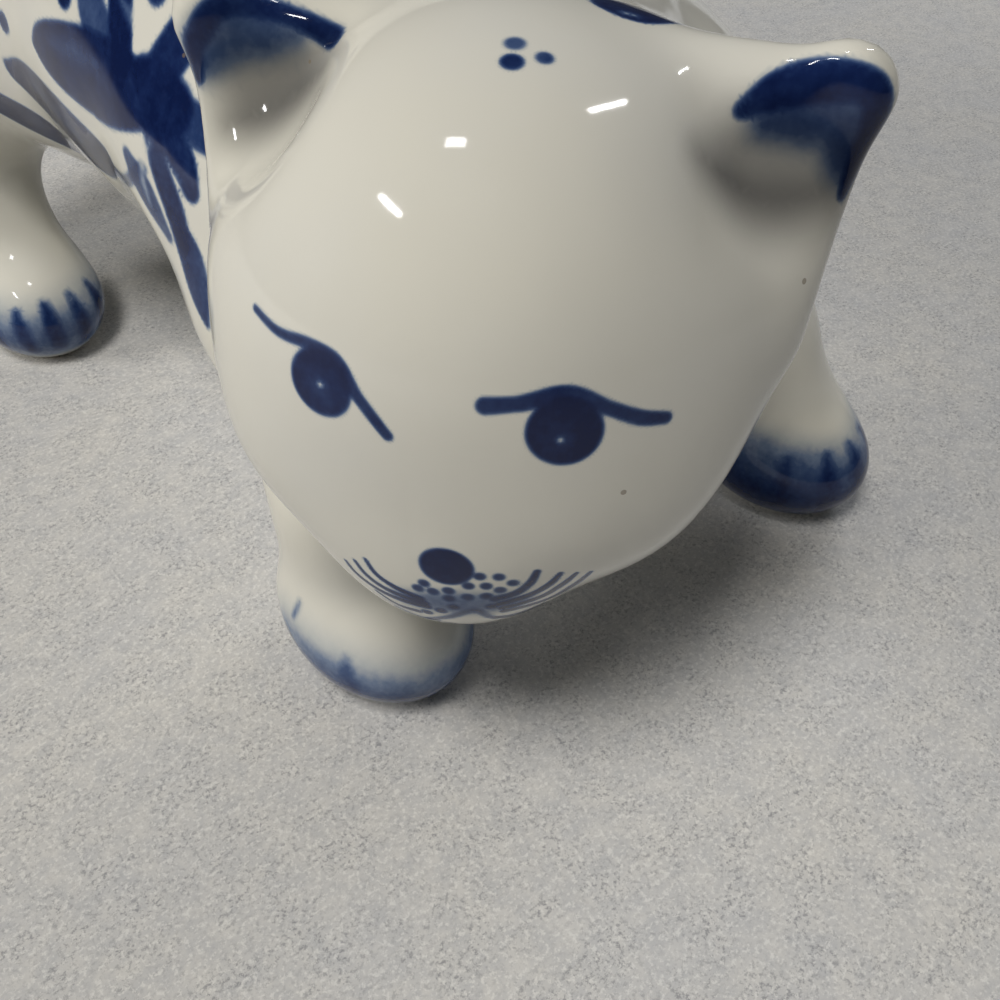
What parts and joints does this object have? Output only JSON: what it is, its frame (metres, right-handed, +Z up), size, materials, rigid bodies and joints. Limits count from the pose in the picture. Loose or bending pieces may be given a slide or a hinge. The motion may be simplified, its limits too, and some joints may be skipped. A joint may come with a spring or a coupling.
{
  "type": "cat figurine",
  "caption": "Glazed porcelain cat in a prowling stance with its head turned, hand-painted in cobalt blue, standing free on four flat feet.",
  "frame": {"origin": "on the resting surface, under the middle of the whole figurine", "axes": "+Z up, -Y the way the cat walks, so +X is its left"},
  "size_m": [0.1314, 0.2512, 0.1229],
  "materials": {
    "porcelain_glaze": "glossy clear glaze over an ivory-white body",
    "cobalt_washed_glaze": "glossy clear glaze over white body with a brushed cobalt-blue wash"
  },
  "bodies": {
    "root": {"torso": "porcelain_glaze", "head": "porcelain_glaze", "left_ear": "porcelain_glaze", "right_ear": "porcelain_glaze", "front_left_leg": "cobalt_washed_glaze", "front_right_leg": "cobalt_washed_glaze", "hind_left_leg": "cobalt_washed_glaze", "hind_right_leg": "cobalt_washed_glaze", "tail": "cobalt_washed_glaze"}
  },
  "joints": []
}
